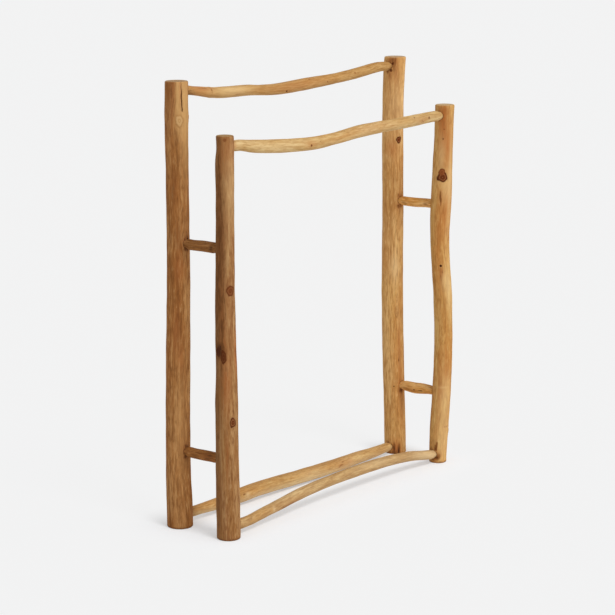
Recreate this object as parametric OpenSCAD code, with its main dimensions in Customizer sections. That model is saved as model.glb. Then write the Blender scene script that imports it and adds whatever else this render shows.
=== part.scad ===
// Free-standing double towel stand made of peeled teak branches.
// Four upright posts carry two top rails and two bottom rails, and short rungs tie the front
// frame to the rear frame. Every rail and rung ends in a round tenon that is glued into a blind
// mortise and locked by one nail.
// +X runs along the rails, +Y points to the rear, +Z is up. The origin is on the floor, midway
// between the four posts.

/* [Stand] */
// Distance between the left and the right posts
post_span_x = 716; // [600:2:900]
// Distance between the front and the rear posts
post_span_y = 126; // [110:2:180]
// Height of the rear posts
rear_post_h = 900; // [820:5:1100]
// Height of the front posts
front_post_h = 803; // [720:1:1000]

/* [Posts] */
// Diameter of the rear posts, before the natural swell and taper
rear_post_d = 47; // [42:0.5:54]
// Diameter of the front posts, before the natural swell and taper
front_post_d = 41.5; // [37:0.5:48]
// Radius of the eased edge at both ends of a post
post_end_round = 2.5; // [1:0.5:4]

/* [Rails] */
// Diameter of the rear top rail
rear_top_rail_d = 23; // [20:0.5:26]
// Diameter of the front top rail
front_top_rail_d = 25; // [20:0.5:28]
// Diameter of the rear bottom rail
rear_bottom_rail_d = 29; // [22:0.5:31]
// Diameter of the front bottom rail
front_bottom_rail_d = 23; // [20:0.5:26]
// How far below the tops of the rear posts their top rail enters
rear_top_rail_drop = 20; // [16:1:60]
// How far below the tops of the front posts their top rail enters
front_top_rail_drop = 23; // [16:1:60]
// Height above the floor at which the bottom rails enter
bottom_rail_z = 21; // [20:1:60]
// How much lower the rear bottom rail enters the right post than the left one
rear_bottom_rail_dip = 4; // [0:0.5:5]

/* [Rungs] */
// Diameter of the rungs
rung_d = 20.5; // [18:0.5:24]
// Height of the lower rungs above the floor
lower_rung_z = 160; // [100:1:260]
// Height of the upper rungs above the floor
upper_rung_z = 582; // [480:1:640]

/* [Joints] */
// Diameter of every tenon
tenon_d = 17; // [14:0.5:19]
// How far a tenon runs past the axis of its post
tenon_past_axis = 7; // [5:0.5:8]
// Width of the glue gap round a tenon
glue_gap = 0.15; // [0.05:0.05:0.3]
// Free depth left at the bottom of a mortise
mortise_end_gap = 1; // [0.5:0.5:2]
// How much wider than the bore the eased mouth of a mortise is, on each side
mouth_ease = 0.8; // [0.4:0.1:1.5]
// Width of the shoulder round a tenon
shoulder = 0.4; // [0.2:0.1:1]
// Distance from the post to the shoulder
shoulder_gap = 0.5; // [0.2:0.1:2]
// Length over which the end of a branch is whittled down to its shoulder
taper_len = 9; // [6:1:20]

/* [Nails] */
// Diameter of a nail
nail_d = 1.8; // [1.4:0.1:2.5]
// How far the tip of a nail runs past the axis of its tenon
nail_past_axis = 4; // [2:0.5:6]
// Diameter of the head of a nail
nail_head_d = 3.2; // [2.8:0.1:4]
// Thickness of the head of a nail
nail_head_h = 1; // [0.6:0.1:1.5]
// How deep the head is set below the surface
nail_set = 0.6; // [0.2:0.1:1.5]
// Clearance round a nail in its hole
nail_fit = 0.04; // [0.02:0.01:0.1]

/* [Hidden] */

$fn = 48;
post_sides = 24;
post_rings = 36;
rail_sides = 16;
rail_rings = 42;
taper_rings = 3;
rung_sides = 16;
rung_rings = 10;
round_steps = 3;
tenon_r = tenon_d / 2;
bore_r = tenon_r + glue_gap;
shoulder_r = tenon_r + shoulder;
mouth_depth = 4;
mouth_reach = 1;
tenon_root = 3;
past_surface = 20;
rung_heights = [lower_rung_z, upper_rung_z];

// How each branch grew: [share of its length, drift one way, drift the other way, girth]. The
// drifts and the girth are shares of the branch's own diameter. A post drifts along X and Y, a
// rail along Y and Z, and a rung along Z and X.
REAR_LEFT_GROWTH = [
    [0.00, -0.02, 0.03, 1.14], [0.12, -0.04, 0.08, 1.09], [0.20, -0.02, 0.09, 1.06],
    [0.38, 0.04, 0.09, 1.05], [0.56, 0.08, 0.04, 1.00], [0.74, 0.04, 0, 0.97],
    [0.85, 0.01, -0.02, 0.98], [0.93, 0, -0.03, 1.00], [1.00, 0, -0.05, 0.98]
];
REAR_RIGHT_GROWTH = [
    [0.00, 0.04, -0.04, 1.04], [0.11, 0.02, 0, 1.01], [0.23, 0, 0.08, 1.02],
    [0.42, -0.04, 0.15, 1.01], [0.62, -0.05, 0.15, 0.99], [0.80, -0.11, 0.15, 0.99],
    [0.90, -0.13, 0.13, 0.98], [0.97, -0.12, 0.08, 1.00], [1.00, -0.11, 0.04, 0.99]
];
FRONT_LEFT_GROWTH = [
    [0.00, 0.03, -0.03, 1.15], [0.10, 0, -0.04, 1.16], [0.23, -0.05, -0.05, 1.10],
    [0.35, -0.07, -0.06, 1.09], [0.42, -0.07, -0.07, 1.02], [0.55, -0.06, -0.01, 0.97],
    [0.70, 0, 0.03, 0.90], [0.85, 0.04, 0.04, 0.87], [0.92, 0.05, 0.05, 0.89],
    [1.00, 0.06, 0.04, 0.84]
];
FRONT_RIGHT_GROWTH = [
    [0.00, -0.04, 0.04, 0.93], [0.08, -0.04, 0, 0.97], [0.19, 0, -0.11, 0.99],
    [0.33, 0.06, -0.15, 0.96], [0.47, 0.10, -0.05, 0.98], [0.60, 0.01, 0.11, 0.98],
    [0.67, 0, 0.12, 1.03], [0.74, 0.01, 0.07, 1.09], [0.85, 0, 0, 1.01], [0.93, 0, -0.05, 0.98],
    [1.00, 0, -0.09, 1.00]
];
REAR_TOP_GROWTH = [
    [0.00, 0, 0, 0.84], [0.04, 0.02, -0.15, 0.80], [0.12, 0.07, -0.48, 0.94],
    [0.20, 0.09, -0.61, 1.00], [0.29, 0.04, -0.65, 0.97], [0.34, 0, -0.77, 0.92],
    [0.42, -0.07, -0.85, 1.03], [0.55, -0.13, -0.72, 1.09], [0.72, -0.07, -0.52, 0.96],
    [0.86, 0.04, -0.22, 0.99], [0.92, 0.05, -0.03, 0.98], [0.96, 0.03, 0.04, 0.90],
    [1.00, 0, 0, 0.87]
];
FRONT_TOP_GROWTH = [
    [0.00, 0, 0, 0.82], [0.03, 0, 0.02, 0.85], [0.10, 0.04, -0.26, 1.00],
    [0.22, 0.08, -0.56, 1.07], [0.37, 0.02, -0.72, 1.03], [0.46, -0.04, -0.60, 0.97],
    [0.58, -0.10, -0.30, 1.01], [0.70, -0.08, -0.18, 0.96], [0.85, 0, -0.10, 0.96],
    [0.95, 0, 0, 0.91], [1.00, 0, 0, 0.86]
];
REAR_BOTTOM_GROWTH = [
    [0.00, 0, 0, 0.72], [0.06, 0.02, -0.03, 0.75], [0.15, 0.05, -0.06, 0.90],
    [0.25, 0.07, -0.02, 1.07], [0.33, 0.04, 0.04, 1.05], [0.50, -0.02, -0.02, 1.05],
    [0.70, -0.07, -0.06, 1.01], [0.82, -0.04, -0.03, 0.94], [0.92, 0, -0.04, 0.81],
    [1.00, 0, 0, 0.72]
];
FRONT_BOTTOM_GROWTH = [
    [0.00, 0, 0, 0.92], [0.06, 0.04, 0.01, 0.93], [0.12, 0.13, 0.14, 0.94],
    [0.21, 0.21, 0.37, 1.00], [0.32, 0.30, 0.66, 1.02], [0.48, 0.34, 0.84, 1.00],
    [0.64, 0.30, 0.87, 1.06], [0.76, 0.21, 0.80, 1.00], [0.87, 0.13, 0.56, 0.96],
    [0.95, 0.04, 0.19, 0.92], [1.00, 0, 0, 0.90]
];
LEFT_UPPER_GROWTH = [
    [0.00, 0, 0, 1.03], [0.15, 0, 0, 1.03], [0.50, -0.03, 0.05, 1.04],
    [0.85, -0.08, 0.03, 1.01], [1.00, 0, 0, 1.00]
];
LEFT_LOWER_GROWTH = [
    [0.00, 0, 0, 1.02], [0.15, 0.02, 0, 1.02], [0.45, 0.01, -0.05, 1.03],
    [0.75, -0.02, -0.03, 1.01], [1.00, 0, 0, 1.00]
];
RIGHT_UPPER_GROWTH = [
    [0.00, 0, 0, 1.00], [0.15, 0.03, 0, 0.99], [0.50, -0.03, -0.03, 1.02],
    [0.85, -0.03, 0, 1.02], [1.00, 0, 0, 1.00]
];
RIGHT_LOWER_GROWTH = [
    [0.00, 0, 0, 0.97], [0.12, 0.05, 0, 0.98], [0.35, 0, 0.03, 1.12], [0.60, -0.07, 0, 1.17],
    [0.85, -0.03, 0, 1.10], [1.00, 0, 0, 1.02]
];

// A post is [foot x, foot y, height, diameter, growth, out-of-round share, its direction].
rear_left = [-post_span_x / 2, post_span_y / 2, rear_post_h, rear_post_d,
    REAR_LEFT_GROWTH, 0.012, 40];
rear_right = [post_span_x / 2, post_span_y / 2, rear_post_h, rear_post_d,
    REAR_RIGHT_GROWTH, 0.015, 110];
front_left = [-post_span_x / 2, -post_span_y / 2, front_post_h, front_post_d,
    FRONT_LEFT_GROWTH, 0.018, 70];
front_right = [post_span_x / 2, -post_span_y / 2, front_post_h, front_post_d,
    FRONT_RIGHT_GROWTH, 0.015, 150];

// ---- Growth: a smooth curve through the listed places ----

// Slope of every value at place i, level at both ends so that a branch enters its post straight
function growth_slope(g, i) =
    i == 0 || i == len(g) - 1 ? [1, 0, 0, 0]
    : (g[i + 1] - g[i - 1]) / (g[i + 1][0] - g[i - 1][0]);

function hermite(a, b, slope_a, slope_b, u) =
    a * (2 * pow(u, 3) - 3 * pow(u, 2) + 1) + slope_a * (pow(u, 3) - 2 * pow(u, 2) + u)
    + b * (3 * pow(u, 2) - 2 * pow(u, 3)) + slope_b * (pow(u, 3) - pow(u, 2));

// The growth at any share t of the length
function growth_at(g, t) =
    let (i = max([for (k = [0:len(g) - 2]) if (k == 0 || g[k][0] <= t) k]),
         step = g[i + 1][0] - g[i][0])
    hermite(g[i], g[i + 1], growth_slope(g, i) * step, growth_slope(g, i + 1) * step,
        (t - g[i][0]) / step);

function smooth(u) =
    let (c = min(1, max(0, u))) c * c * (3 - 2 * c);

function out_of_round(share, direction, angle) = 1 + share * cos(2 * (angle - direction));

// ---- Posts: where the axis and the surface are at any height ----

function post_axis(p, z) =
    let (g = growth_at(p[4], z / p[2]))
    [p[0] + g[1] * p[3], p[1] + g[2] * p[3], z];

function post_radius(p, z, angle) =
    growth_at(p[4], z / p[2])[3] * p[3] / 2 * out_of_round(p[5], p[6], angle);

// Side of the post that its rails leave from, and the one that its rungs leave from
function rail_side(p) = p[0] < 0 ? [1, 0, 0] : [-1, 0, 0];
function rung_side(p) = p[1] < 0 ? [0, 1, 0] : [0, -1, 0];
function side_angle(side) = atan2(side.y, side.x);
function top_rail_z(p) = p[2] - (p[1] < 0 ? front_top_rail_drop : rear_top_rail_drop);
function low_rail_z(p) = bottom_rail_z - (p == rear_right ? rear_bottom_rail_dip : 0);

// Distance from the axis of the post to the shoulder of the branch that enters on that side
function shoulder_reach(p, z, side) = post_radius(p, z, side_angle(side)) + shoulder_gap;

// ---- Solids ----

// A closed skin over rings of points, which turn anticlockwise seen from the last ring
module skin(rings) {
    n = len(rings[0]);
    last = (len(rings) - 1) * n;
    first_cap = [for (j = [0:n - 1]) j];
    last_cap = [for (j = [n - 1:-1:0]) last + j];
    sides = [
        for (i = [0:len(rings) - 2], j = [0:n - 1])
            let (a = i * n + j, b = i * n + (j + 1) % n)
            each [[a, a + n, b + n], [a, b + n, b]]
    ];
    polyhedron(points = [for (ring = rings) each ring], faces = concat([first_cap], sides,
        [last_cap]), convexity = 6);
}

// Heights and insets of the rings of a post, with eased edges at both ends
function post_steps(h) = concat(
    [for (k = [0:round_steps]) let (a = 90 * k / round_steps)
        [post_end_round * (1 - cos(a)), post_end_round * (1 - sin(a))]],
    [for (k = [1:post_rings - 1]) [h * k / post_rings, 0]],
    [for (k = [round_steps:-1:0]) let (a = 90 * k / round_steps)
        [h - post_end_round * (1 - cos(a)), post_end_round * (1 - sin(a))]]
);

module post_branch(p) {
    skin([
        for (s = post_steps(p[2]))
            let (c = post_axis(p, s[0]))
            [for (j = [0:post_sides - 1])
                let (a = 360 * j / post_sides, r = post_radius(p, s[0], a) - s[1])
                c + r * [cos(a), sin(a), 0]]
    ]);
}

// Turns +Z to one of the four sides
module toward(side) {
    rotate(side.x != 0 ? [0, 90 * side.x, 0] : [-90 * side.y, 0, 0]) children();
}

module mortise(p, z, side) {
    r = post_radius(p, z, side_angle(side));
    depth = tenon_past_axis + mortise_end_gap;
    translate(post_axis(p, z)) toward(side) {
        translate([0, 0, -depth]) cylinder(r = bore_r, h = depth + r + past_surface);
        translate([0, 0, r - mouth_depth])
            cylinder(r1 = bore_r, r2 = bore_r + mouth_ease, h = mouth_depth + mouth_reach);
    }
}

// A nail runs from its head, set below the surface on that side, past the axis of the post.
function head_reach(p, z, side) = post_radius(p, z, side_angle(side)) - nail_set;
function nail_start(p, z, side) = post_axis(p, z) + side * head_reach(p, z, side);
function nail_len(p, z, side) = head_reach(p, z, side) + nail_past_axis;

module nail(p, z, side) {
    translate(nail_start(p, z, side)) toward(-side) {
        cylinder(d = nail_head_d, h = nail_head_h);
        cylinder(d = nail_d, h = nail_len(p, z, side));
    }
}

module nail_hole(p, z, side) {
    translate(nail_start(p, z, side)) toward(-side) {
        translate([0, 0, -past_surface])
            cylinder(d = nail_head_d + 2 * nail_fit, h = nail_head_h + nail_fit + past_surface);
        cylinder(d = nail_d + 2 * nail_fit, h = nail_len(p, z, side) + nail_fit);
    }
}

rail_nail_side = [0, 1, 0];
rung_nail_side = [1, 0, 0];

module post(p) {
    difference() {
        post_branch(p);
        for (z = [low_rail_z(p), top_rail_z(p)]) {
            mortise(p, z, rail_side(p));
            nail_hole(p, z, rail_nail_side);
        }
        for (z = rung_heights) {
            mortise(p, z, rung_side(p));
            nail_hole(p, z, rung_nail_side);
        }
    }
}

// Radius of a branch that is whittled down to its shoulders at both ends
function whittled(natural_r, s, span) =
    shoulder_r + (natural_r - shoulder_r) * smooth(min(s, span - s) / taper_len);

// Places of the rings of a branch, closer together where it is whittled
function branch_steps(span, rings) = concat(
    [for (k = [0:taper_rings - 1]) taper_len * k / taper_rings],
    [for (k = [0:rings]) taper_len + (span - 2 * taper_len) * k / rings],
    [for (k = [taper_rings - 1:-1:0]) span - taper_len * k / taper_rings]
);

// A branch from shoulder to shoulder, in a frame where it runs along the third axis. start and
// end are [across, up, along], and turn puts a point of that frame into the stand.
module tenon_branch(start, end, d, growth, oval, sides, rings, turn) {
    span = end[2] - start[2];
    skin([
        for (s = branch_steps(span, rings))
            let (t = s / span, g = growth_at(growth, t),
                 c = start + (end - start) * smooth(t),
                 r = whittled(g[3] * d / 2, s, span))
            [for (j = [0:sides - 1])
                let (a = 360 * j / sides, ra = r * out_of_round(oval[0], oval[1], a))
                turned(turn, [c[0] + g[1] * d + ra * cos(a), c[1] + g[2] * d + ra * sin(a),
                    start[2] + s])]
    ]);
}

function turned(turn, q) = turn == "rail" ? [q[2], q[0], q[1]] : [q[1], q[2], q[0]];

module tenon(p, z, side) {
    reach = shoulder_reach(p, z, side);
    translate(post_axis(p, z)) toward(side) translate([0, 0, -tenon_past_axis])
        cylinder(r = tenon_r, h = tenon_past_axis + reach + tenon_root);
}

module rail(left, right, z_left, z_right, d, growth, oval) {
    a = post_axis(left, z_left) + [shoulder_reach(left, z_left, rail_side(left)), 0, 0];
    b = post_axis(right, z_right) - [shoulder_reach(right, z_right, rail_side(right)), 0, 0];
    difference() {
        union() {
            tenon_branch([a.y, a.z, a.x], [b.y, b.z, b.x], d, growth, oval, rail_sides,
                rail_rings, "rail");
            tenon(left, z_left, rail_side(left));
            tenon(right, z_right, rail_side(right));
        }
        nail_hole(left, z_left, rail_nail_side);
        nail_hole(right, z_right, rail_nail_side);
    }
}

module rung(front, rear, z, growth, oval) {
    a = post_axis(front, z) + [0, shoulder_reach(front, z, rung_side(front)), 0];
    b = post_axis(rear, z) - [0, shoulder_reach(rear, z, rung_side(rear)), 0];
    difference() {
        union() {
            tenon_branch([a.z, a.x, a.y], [b.z, b.x, b.y], rung_d, growth, oval, rung_sides,
                rung_rings, "rung");
            tenon(front, z, rung_side(front));
            tenon(rear, z, rung_side(rear));
        }
        nail_hole(front, z, rung_nail_side);
        nail_hole(rear, z, rung_nail_side);
    }
}

// ---- Sub-parts ----

module rear_left_post() color("#a8773f") post(rear_left);
module rear_right_post() color("#b88a50") post(rear_right);
module front_left_post() color("#9c6b40") post(front_left);
module front_right_post() color("#bb8a4c") post(front_right);

module rear_top_rail() color("#bd8f54")
    rail(rear_left, rear_right, top_rail_z(rear_left), top_rail_z(rear_right),
        rear_top_rail_d, REAR_TOP_GROWTH, [0.02, 30]);
module front_top_rail() color("#cba263")
    rail(front_left, front_right, top_rail_z(front_left), top_rail_z(front_right),
        front_top_rail_d, FRONT_TOP_GROWTH, [0.02, 75]);
module rear_bottom_rail() color("#bf9156")
    rail(rear_left, rear_right, low_rail_z(rear_left), low_rail_z(rear_right),
        rear_bottom_rail_d, REAR_BOTTOM_GROWTH, [0.015, 0]);
module front_bottom_rail() color("#c39a5e")
    rail(front_left, front_right, low_rail_z(front_left), low_rail_z(front_right),
        front_bottom_rail_d, FRONT_BOTTOM_GROWTH, [0.02, 120]);

module left_upper_rung() color("#7d552c")
    rung(front_left, rear_left, upper_rung_z, LEFT_UPPER_GROWTH, [0.02, 20]);
module left_lower_rung() color("#7d552c")
    rung(front_left, rear_left, lower_rung_z, LEFT_LOWER_GROWTH, [0.02, 60]);
module right_upper_rung() color("#a8763c")
    rung(front_right, rear_right, upper_rung_z, RIGHT_UPPER_GROWTH, [0.03, 90]);
module right_lower_rung() color("#a8763c")
    rung(front_right, rear_right, lower_rung_z, RIGHT_LOWER_GROWTH, [0.03, 0]);

module nail_pair(p, q, z_p, z_q, side) color("#b9b7b2") {
    nail(p, z_p, side);
    nail(q, z_q, side);
}
module top_nails(left, right)
    nail_pair(left, right, top_rail_z(left), top_rail_z(right), rail_nail_side);
module low_nails(left, right)
    nail_pair(left, right, low_rail_z(left), low_rail_z(right), rail_nail_side);
module rung_nails(front, rear, z)
    nail_pair(front, rear, z, z, rung_nail_side);

rear_left_post();
rear_right_post();
front_left_post();
front_right_post();
rear_top_rail();
front_top_rail();
rear_bottom_rail();
front_bottom_rail();
left_upper_rung();
left_lower_rung();
right_upper_rung();
right_lower_rung();
top_nails(rear_left, rear_right);  // rear_top_rail_nails
top_nails(front_left, front_right);  // front_top_rail_nails
low_nails(rear_left, rear_right);  // rear_bottom_rail_nails
low_nails(front_left, front_right);  // front_bottom_rail_nails
rung_nails(front_left, rear_left, upper_rung_z);  // left_upper_rung_nails
rung_nails(front_left, rear_left, lower_rung_z);  // left_lower_rung_nails
rung_nails(front_right, rear_right, upper_rung_z);  // right_upper_rung_nails
rung_nails(front_right, rear_right, lower_rung_z);  // right_lower_rung_nails
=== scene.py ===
import math

import bmesh
import bpy
import numpy as np
from mathutils import Matrix, Vector


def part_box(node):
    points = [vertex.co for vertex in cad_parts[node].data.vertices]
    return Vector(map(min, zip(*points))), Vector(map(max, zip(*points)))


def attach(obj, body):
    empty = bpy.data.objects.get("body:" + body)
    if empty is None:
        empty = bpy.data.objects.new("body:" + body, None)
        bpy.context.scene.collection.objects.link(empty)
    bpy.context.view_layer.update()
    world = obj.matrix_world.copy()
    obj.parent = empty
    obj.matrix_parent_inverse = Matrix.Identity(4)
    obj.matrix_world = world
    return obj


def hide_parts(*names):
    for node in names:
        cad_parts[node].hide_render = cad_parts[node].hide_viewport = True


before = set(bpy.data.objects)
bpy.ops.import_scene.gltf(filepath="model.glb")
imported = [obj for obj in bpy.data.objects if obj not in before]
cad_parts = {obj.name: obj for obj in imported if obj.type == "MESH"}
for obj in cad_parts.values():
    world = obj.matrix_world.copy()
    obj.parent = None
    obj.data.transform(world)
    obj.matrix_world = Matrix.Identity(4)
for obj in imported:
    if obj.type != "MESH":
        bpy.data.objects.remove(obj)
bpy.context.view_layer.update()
mm = 0.001
print("frame loaded with", len(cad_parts), "nodes")


def linear(hexColour):
    # sRGB hex to the linear colour that the shaders take
    parts = [int(hexColour[i:i + 2], 16) / 255 for i in (1, 3, 5)]
    return (*(c / 12.92 if c <= 0.04045 else ((c + 0.055) / 1.055) ** 2.4 for c in parts), 1)


def smooth(x):
    x = np.clip(x, 0, 1)
    return x * x * (3 - 2 * x)


def addNode(tree, kind, settings=None, values=None, links=None):
    # one node: its settings, its plain socket values, and the sockets that feed it
    node = tree.nodes.new(kind)
    for name, value in (settings or {}).items():
        setattr(node, name, value)
    for socket, value in (values or {}).items():
        node.inputs[socket].default_value = value
    for socket, source in (links or {}).items():
        tree.links.new(source, node.inputs[socket])
    return node


# Camera, light and floor
view = {
    "place": (-3.3274, -2.6980, 1.2921),
    "turn": 50.702,  # degrees from the rear towards the right
    "tilt": -11.74,  # degrees above the level
    "lens": 122.1,
    "sensor": 36,
}
cameraData = bpy.data.cameras.new("camera")
cameraData.lens = view["lens"]
cameraData.sensor_width = view["sensor"]
camera = bpy.data.objects.new("camera", cameraData)
camera.location = view["place"]
camera.rotation_euler = (math.radians(90 + view["tilt"]), 0, math.radians(-view["turn"]))
bpy.context.scene.collection.objects.link(camera)
bpy.context.scene.camera = camera
bpy.context.scene.view_settings.view_transform = "Standard"

studio = {
    "sky": 0.55,  # even light from all around
    "lamps": {
        # a soft key from the front, high up, and a wide low fill from the right of the view:
        # (strength, width in degrees, turn from the rear towards the right, height above level)
        "softKey": (1.36, 17, 192, 56),
        "wideFill": (0.95, 70, 158, 12),
    },
    "floor": "#F4F5F6",
    # what the camera sees of it: lit paint a little cooler and paler, and plain backdrop
    "seen": "#F9FBFE",
    "plain": "#F2F2F2",
    # how much of the seen floor is lit paint, near the stand and away from it
    "lit": (0.6, 0.06),
    "fade": (0.0, 0.12),  # metres from the footprint, over which the one turns to the other
    "footprint": (0.37, 0.07),  # half the width and depth that the feet take up, in metres
    "floorReach": 60,  # metres each way
}
world = bpy.data.worlds.new("studio")
bpy.context.scene.world = world
world.use_nodes = True
world.node_tree.nodes["Background"].inputs["Color"].default_value = (1, 1, 1, 1)
world.node_tree.nodes["Background"].inputs["Strength"].default_value = studio["sky"]

for name, (strength, width, turn, height) in studio["lamps"].items():
    lampData = bpy.data.lights.new(name, "SUN")
    lampData.energy = strength
    lampData.angle = math.radians(width)
    lamp = bpy.data.objects.new(name, lampData)
    level, turn = math.radians(height), math.radians(turn)
    toLamp = Vector((math.sin(turn) * math.cos(level), math.cos(turn) * math.cos(level),
                     math.sin(level)))
    lamp.rotation_euler = toLamp.to_track_quat("Z", "Y").to_euler()
    bpy.context.scene.collection.objects.link(lamp)

floorMesh = bpy.data.meshes.new("studioFloor")
floorShape = bmesh.new()
bmesh.ops.create_grid(floorShape, x_segments=1, y_segments=1, size=studio["floorReach"])
floorShape.to_mesh(floorMesh)
floorShape.free()
floor = bpy.data.objects.new("studioFloor", floorMesh)
bpy.context.scene.collection.objects.link(floor)


def paintedFloor():
    # Matt pale studio floor. The camera sees it lit, with the stand's shadow, close to the
    # stand, and mostly as a plain pale backdrop away from it.
    material = bpy.data.materials.new("mattPaintedFloor")
    material.use_nodes = True
    tree = material.node_tree
    tree.nodes.clear()

    def steps(operation, values, links):
        return addNode(tree, "ShaderNodeVectorMath", {"operation": operation}, values, links)

    place = addNode(tree, "ShaderNodeTexCoord").outputs["Object"]
    size = steps("ABSOLUTE", {}, {0: place}).outputs["Vector"]
    beyond = steps("SUBTRACT", {1: (*studio["footprint"], 0)}, {0: size}).outputs["Vector"]
    beyond = steps("MAXIMUM", {1: (0, 0, 0)}, {0: beyond}).outputs["Vector"]
    away = steps("LENGTH", {}, {0: beyond}).outputs["Value"]
    lit = addNode(tree, "ShaderNodeMapRange", {"interpolation_type": "SMOOTHSTEP"},
                  {"From Min": studio["fade"][0], "From Max": studio["fade"][1],
                   "To Min": 1 - studio["lit"][0], "To Max": 1 - studio["lit"][1]},
                  {"Value": away}).outputs["Result"]
    path = addNode(tree, "ShaderNodeLightPath").outputs
    inView = path["Is Camera Ray"]
    for ray in ("Is Glossy Ray", "Is Transmission Ray"):  # steel shows the same backdrop
        inView = addNode(tree, "ShaderNodeMath", {"operation": "MAXIMUM"},
                         links={0: inView, 1: path[ray]}).outputs[0]
    share = addNode(tree, "ShaderNodeMath", {"operation": "MULTIPLY"},
                    links={0: inView, 1: lit})
    plain = addNode(tree, "ShaderNodeEmission", values={"Color": linear(studio["plain"])})
    tone = addNode(tree, "ShaderNodeMix", {"data_type": "RGBA"},
                   {6: linear(studio["floor"]), 7: linear(studio["seen"])},
                   {0: inView})
    paint = addNode(tree, "ShaderNodeBsdfDiffuse", links={"Color": tone.outputs[2]})
    both = addNode(tree, "ShaderNodeMixShader", links={
        0: share.outputs[0], 1: paint.outputs[0], 2: plain.outputs[0]})
    addNode(tree, "ShaderNodeOutputMaterial", links={"Surface": both.outputs[0]})
    return material


floorMesh.materials.append(paintedFloor())
print("camera, light and floor set")


# Peeled teak is one finish, with each branch's own colours. The patterns' sizes are in mm
# across the grain, with how many times longer each is along it. Real fibres and pores are
# finer, and are drawn this coarse so that they show.
grainSize = {
    "fibre": (1.1, 20),
    "stroke": (2.0, 5),  # short wavy figure, where the fibres dip in and out of the surface
    "band": (4.5, 22),  # dark late growth and pale early growth
    "blotch": (15, 6),
    "cloud": (60, 3),
    "pore": (0.6, 14),
    "wave": (15, 3.5),
}
waveReach = 3.2  # mm that the fibres wander sideways
yearRing = 2.2  # mm between growth rings on a sawn end
grainDepth = 0.7  # mm of relief in the grain, a little more than the real one so that it shows
woodSheen = 0.04  # dry unvarnished wood has next to no mirror reflection
# colour layers over the body, from the slow changes to the fine ones: the pattern, the values
# at which the layer starts and is full, its strength and its colour in the branch's look
grainLayers = [
    ("blotch", 0.50, 0.66, "blotches", "warm"), ("blotch", 0.50, 0.36, "blotches", "pale"),
    ("band", 0.50, 0.68, "bands", "pale"), ("band", 0.49, 0.33, "bands", "streak"),
    ("stroke", 0.50, 0.36, "strokes", "streak"), ("stroke", 0.54, 0.70, "strokes", "pale"),
    ("fibre", 0.55, 0.34, "fibres", "streak"), ("fibre", 0.57, 0.74, "fibres", "pale"),
]


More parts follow.
